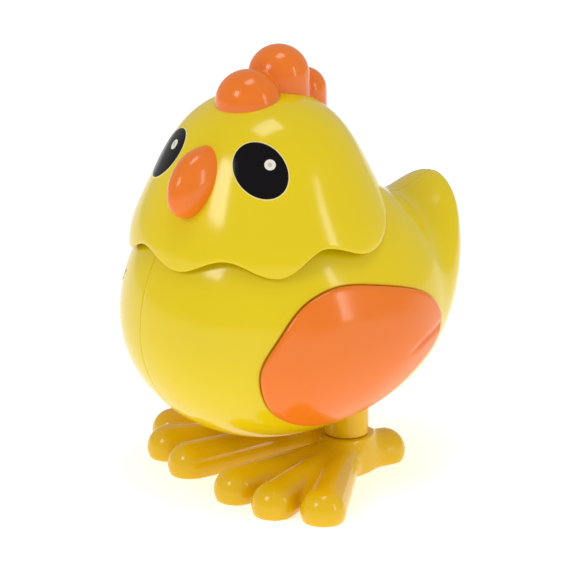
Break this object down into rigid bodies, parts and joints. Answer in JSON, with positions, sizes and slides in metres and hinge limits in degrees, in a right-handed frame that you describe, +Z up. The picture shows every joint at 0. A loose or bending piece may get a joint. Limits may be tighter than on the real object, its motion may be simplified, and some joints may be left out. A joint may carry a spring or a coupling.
{
  "type": "wind-up hopping chick toy",
  "caption": "Egg-shaped wind-up chick with a cap-like turning head, comb, beak, wings, upturned tail and broad webbed feet that a geared clockwork motor pushes down to hop.",
  "frame": {"origin": "on the ground, at the centre of the footprint's bounding box", "axes": "+Z up, the chest faces -Y and the tail +Y; +X is the chick's left"},
  "size_m": [0.0686, 0.0817, 0.098],
  "materials": {
    "yellow_shell": "polished",
    "orange_trim": "polished",
    "yellow_legs": "polished",
    "eye_black": "polished",
    "gear_nylon": "moulded",
    "knob_plastic": "moulded",
    "steel": "rolled"
  },
  "bodies": {
    "chassis": {"body_left_shell": "yellow_shell", "body_right_shell": "yellow_shell", "left_wing": "orange_trim", "right_wing": "orange_trim", "body_screws": "steel", "motor_front_plate": "gear_nylon", "motor_rear_plate": "gear_nylon", "motor_pillars": "steel", "motor_screws": "steel", "wheel_pins": "steel", "mainspring": "steel"},
    "head": {"head_shell": "yellow_shell", "comb": "orange_trim", "beak": "orange_trim", "left_eye": "eye_black", "right_eye": "eye_black", "neck_plate": "gear_nylon"},
    "legs": {"left_leg_tube": "yellow_legs", "right_leg_tube": "yellow_legs", "left_foot": "yellow_legs", "right_foot": "yellow_legs", "leg_carrier": "gear_nylon", "hop_yoke": "gear_nylon", "carrier_screws": "steel", "foot_screws": "steel"},
    "winder": {"winding_knob": "knob_plastic", "winding_arbor": "steel", "ratchet_wheel": "gear_nylon"},
    "great": {"great_wheel": "gear_nylon", "pawl_post": "steel", "pawl_spring": "steel"},
    "pawl_arm": {"pawl": "gear_nylon"},
    "second": {"second_wheel": "gear_nylon"},
    "third": {"third_wheel": "gear_nylon"},
    "crank": {"crank_shaft": "steel", "crank_pinion": "gear_nylon", "crank_disc": "gear_nylon"}
  },
  "joints": [
    {"name": "head_turn", "type": "hinge", "parent": "chassis", "child": "head", "pos_m": [0, -0.009, 0.074], "axis": [0, 0, 1], "range_deg": [-36, 0]},
    {"name": "leg_hop", "type": "slide", "parent": "chassis", "child": "legs", "axis": [0, 0, -1], "range_m": [0, 0.005]},
    {"name": "winding", "type": "hinge", "parent": "chassis", "child": "winder", "pos_m": [0, -0.009, 0.033], "axis": [0, 1, 0], "continuous": true},
    {"name": "running", "type": "hinge", "parent": "chassis", "child": "great", "pos_m": [0, -0.009, 0.033], "axis": [0, 1, 0], "continuous": true},
    {"name": "pawl_lift", "type": "hinge", "parent": "great", "child": "pawl_arm", "pos_m": [0, -0.009, 0.0406], "axis": [0, -1, 0], "range_deg": [0, 8], "stiffness_Nm_per_rad": 0.0002},
    {"name": "second_spin", "type": "hinge", "parent": "chassis", "child": "second", "pos_m": [0.01247, -0.009, 0.0402], "axis": [0, 1, 0], "continuous": true},
    {"name": "third_spin", "type": "hinge", "parent": "chassis", "child": "third", "pos_m": [0.0105, -0.009, 0.05264], "axis": [0, 1, 0], "continuous": true},
    {"name": "crank_spin", "type": "hinge", "parent": "chassis", "child": "crank", "pos_m": [0, -0.009, 0.05012], "axis": [0, 1, 0], "continuous": true}
  ],
  "couplings": [
    {"joint": "second_spin", "follows": "running", "ratio": -3},
    {"joint": "third_spin", "follows": "running", "ratio": 7.5},
    {"joint": "crank_spin", "follows": "running", "ratio": -15}
  ]
}
